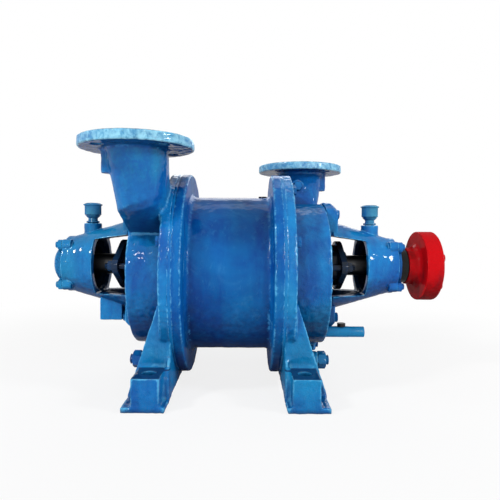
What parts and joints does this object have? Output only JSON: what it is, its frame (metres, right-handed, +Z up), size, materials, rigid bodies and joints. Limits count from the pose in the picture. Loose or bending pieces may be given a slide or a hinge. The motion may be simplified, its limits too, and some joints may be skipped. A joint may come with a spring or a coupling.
{
  "type": "liquid ring vacuum pump",
  "caption": "Liquid ring vacuum pump with flanged cylindrical body, two footed end covers, upright pipe flanges, bearing brackets and a pin coupling half.",
  "frame": {"origin": "centre of the four foot bolt holes, on the floor under the feet", "axes": "+X along the shaft towards the coupling, +Z up, +Y to the side of the discharge port"},
  "size_m": [0.779, 0.518, 0.45],
  "materials": {
    "blue_enamel": "glossy brushed enamel over rough castings",
    "red_enamel": "glossy enamel",
    "black_enamel": "satin black",
    "steel": "machined",
    "bronze": "cast and machined",
    "bare_iron": "machined cast iron",
    "sealing": "graphited fibre and rubber"
  },
  "bodies": {
    "pump_frame": {"pump_body": "blue_enamel", "suction_cover": "blue_enamel", "discharge_cover": "blue_enamel", "suction_port_plate": "bare_iron", "discharge_port_plate": "bare_iron", "left_gasket": "sealing", "right_gasket": "sealing", "left_flange_bolts": "blue_enamel", "right_flange_bolts": "blue_enamel", "lower_studs": "blue_enamel", "lower_stud_nuts": "blue_enamel", "left_bearing_bracket": "blue_enamel", "right_bearing_bracket": "blue_enamel", "left_bracket_bolts": "blue_enamel", "right_bracket_bolts": "blue_enamel", "left_packing": "sealing", "right_packing": "sealing", "left_lantern_ring": "bronze", "right_lantern_ring": "bronze", "left_gland": "blue_enamel", "right_gland": "blue_enamel", "left_gland_studs": "blue_enamel", "right_gland_studs": "blue_enamel", "left_gland_nuts": "blue_enamel", "right_gland_nuts": "blue_enamel", "left_bearing_outer_race": "steel", "right_bearing_outer_race": "steel", "left_bearing_cover": "blue_enamel", "right_bearing_cover": "blue_enamel", "left_cover_screws": "blue_enamel", "right_cover_screws": "blue_enamel", "oil_seal": "sealing", "left_grease_cup_base": "blue_enamel", "right_grease_cup_base": "blue_enamel", "water_pipe": "blue_enamel", "pipe_plug": "black_enamel", "drain_plugs": "blue_enamel", "gauge_plugs": "blue_enamel", "priming_plug": "bare_iron"},
    "rotor": {"shaft": "steel", "impeller": "bronze", "impeller_key": "steel", "left_shaft_sleeve": "steel", "right_shaft_sleeve": "steel", "left_bearing_inner_race": "steel", "right_bearing_inner_race": "steel", "left_locknut": "steel", "right_locknut": "steel", "shaft_collar": "black_enamel", "coupling_half": "red_enamel", "coupling_key": "steel", "coupling_set_screw": "black_enamel", "coupling_pins": "red_enamel"},
    "left_cage": {"left_bearing_balls": "steel", "left_bearing_cage": "bronze"},
    "right_cage": {"right_bearing_balls": "steel", "right_bearing_cage": "bronze"},
    "left_cup_cap": {"left_grease_cup_cap": "blue_enamel"},
    "right_cup_cap": {"right_grease_cup_cap": "blue_enamel"}
  },
  "joints": [
    {"name": "shaft_spin", "type": "hinge", "parent": "pump_frame", "child": "rotor", "pos_m": [0, 0, 0.225], "axis": [1, 0, 0], "continuous": true},
    {"name": "left_cage_spin", "type": "hinge", "parent": "pump_frame", "child": "left_cage", "pos_m": [-0.3115, 0, 0.225], "axis": [1, 0, 0], "continuous": true},
    {"name": "right_cage_spin", "type": "hinge", "parent": "pump_frame", "child": "right_cage", "pos_m": [0.3115, 0, 0.225], "axis": [1, 0, 0], "continuous": true},
    {"name": "left_cup_turn", "type": "hinge", "parent": "pump_frame", "child": "left_cup_cap", "pos_m": [-0.287, 0, 0.33], "axis": [0, 0, 1], "range_deg": [-720, 0]},
    {"name": "right_cup_turn", "type": "hinge", "parent": "pump_frame", "child": "right_cup_cap", "pos_m": [0.287, 0, 0.33], "axis": [0, 0, 1], "range_deg": [-720, 0]}
  ],
  "couplings": [
    {"joint": "left_cage_spin", "follows": "shaft_spin", "ratio": 0.3846},
    {"joint": "right_cage_spin", "follows": "shaft_spin", "ratio": 0.3846}
  ]
}
